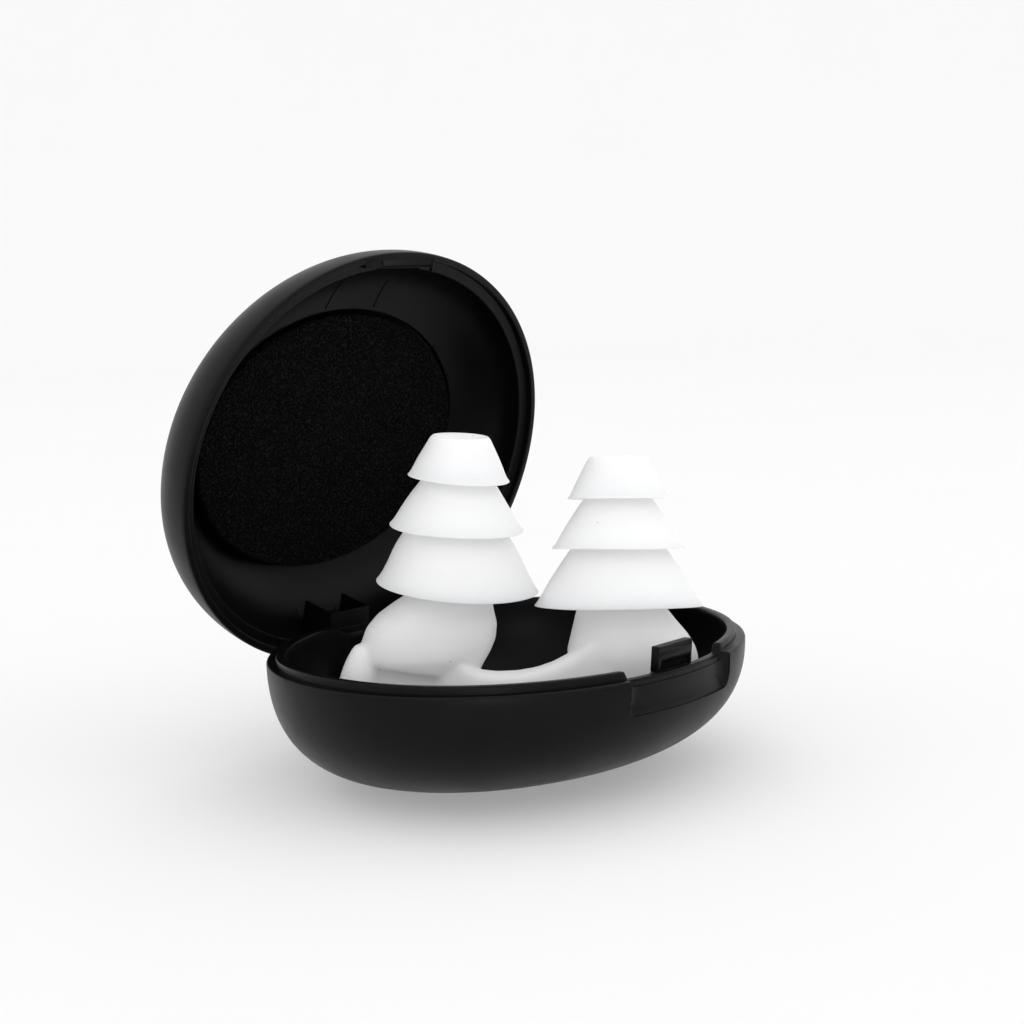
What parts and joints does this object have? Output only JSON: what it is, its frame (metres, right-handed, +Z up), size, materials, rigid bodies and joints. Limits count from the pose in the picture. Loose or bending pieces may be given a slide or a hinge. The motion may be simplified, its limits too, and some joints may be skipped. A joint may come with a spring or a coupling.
{
  "type": "ear plugs in a hinged pocket case",
  "caption": "White triple-flange silicone ear plugs standing on a joined carrier in a small black clamshell case, with a foam-lined lid and a snap latch.",
  "frame": {"origin": "centre of the small flat foot under the base, which the open case stands on", "axes": "+Z up, +Y from the latch to the hinge, +X along the hinge axis and the long side of the oval case"},
  "size_m": [0.038, 0.0412, 0.0396],
  "materials": {
    "black_shell": "satin moulded black plastic with a very fine grain",
    "black_foam": "open-cell black foam",
    "tape": "dark adhesive film",
    "white_silicone": "soft satin white silicone",
    "steel": "plain steel wire"
  },
  "bodies": {
    "base": {"base_shell": "black_shell", "hinge_pin": "steel"},
    "lid": {"lid_shell": "black_shell", "foam_pad": "black_foam", "pad_tape": "tape"},
    "latch": {"latch_tab": "black_shell"},
    "carrier": {"plug_carrier": "white_silicone"},
    "plug_left": {"ear_plug_left": "white_silicone"},
    "plug_right": {"ear_plug_right": "white_silicone"}
  },
  "joints": [
    {"name": "lid_hinge", "type": "hinge", "parent": "base", "child": "lid", "pos_m": [0, 0.00946, 0.00753], "axis": [-1, 0, 0], "range_deg": [-75, 0], "deforming": ["plug_carrier", "ear_plug_left", "ear_plug_right"]},
    {"name": "latch_flex", "type": "hinge", "parent": "base", "child": "latch", "pos_m": [0, -0.02085, 0.01], "axis": [-1, 0, 0], "range_deg": [0, 5], "stiffness_Nm_per_rad": 0.02},
    {"name": "carrier_lift", "type": "slide", "parent": "base", "child": "carrier", "axis": [0, 0, 1], "range_m": [0, 0.012]},
    {"name": "plug_left_pull", "type": "slide", "parent": "carrier", "child": "plug_left", "axis": [0.0301, -0.0807, 0.9963], "range_m": [0, 0.011]},
    {"name": "plug_right_pull", "type": "slide", "parent": "carrier", "child": "plug_right", "axis": [0.1113, 0.0644, 0.9917], "range_m": [0, 0.011]}
  ]
}
